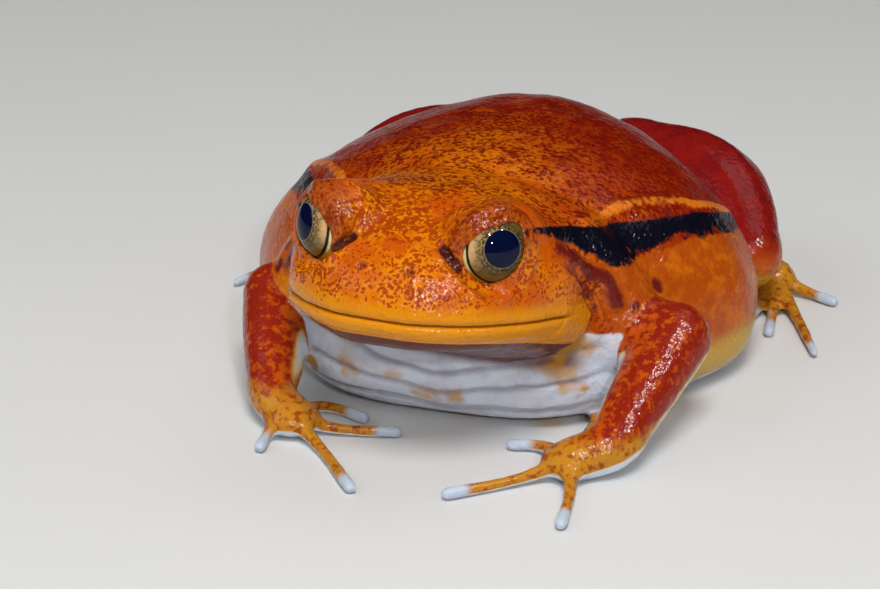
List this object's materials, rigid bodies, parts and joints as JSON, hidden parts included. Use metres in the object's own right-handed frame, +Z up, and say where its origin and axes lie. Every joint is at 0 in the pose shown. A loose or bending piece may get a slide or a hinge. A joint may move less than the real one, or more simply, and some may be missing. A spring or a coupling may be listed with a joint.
{
  "type": "tomato frog model",
  "caption": "Life-size still model of a plump orange-red frog sitting with folded legs, spread fingers and a dark stripe along each flank.",
  "frame": {"origin": "centre of the footprint's bounding box, on the plane that the belly, hands and feet rest on", "axes": "+Z up, the frog faces -Y and its left side is at +X"},
  "size_m": [0.0798, 0.0926, 0.0316],
  "materials": {
    "back_skin": "moist, finely grained skin, glossy",
    "limb_skin": "moist skin, glossy",
    "digit_skin": "moist skin, satin",
    "eye": "polished"
  },
  "bodies": {
    "root": {"head": "back_skin", "torso": "back_skin", "upper_arm_left": "limb_skin", "upper_arm_right": "limb_skin", "forearm_left": "limb_skin", "forearm_right": "limb_skin", "hand_left": "digit_skin", "hand_right": "digit_skin", "thigh_left": "limb_skin", "thigh_right": "limb_skin", "shank_left": "limb_skin", "shank_right": "limb_skin", "foot_left": "digit_skin", "foot_right": "digit_skin", "eye_left": "eye", "eye_right": "eye"}
  },
  "joints": []
}
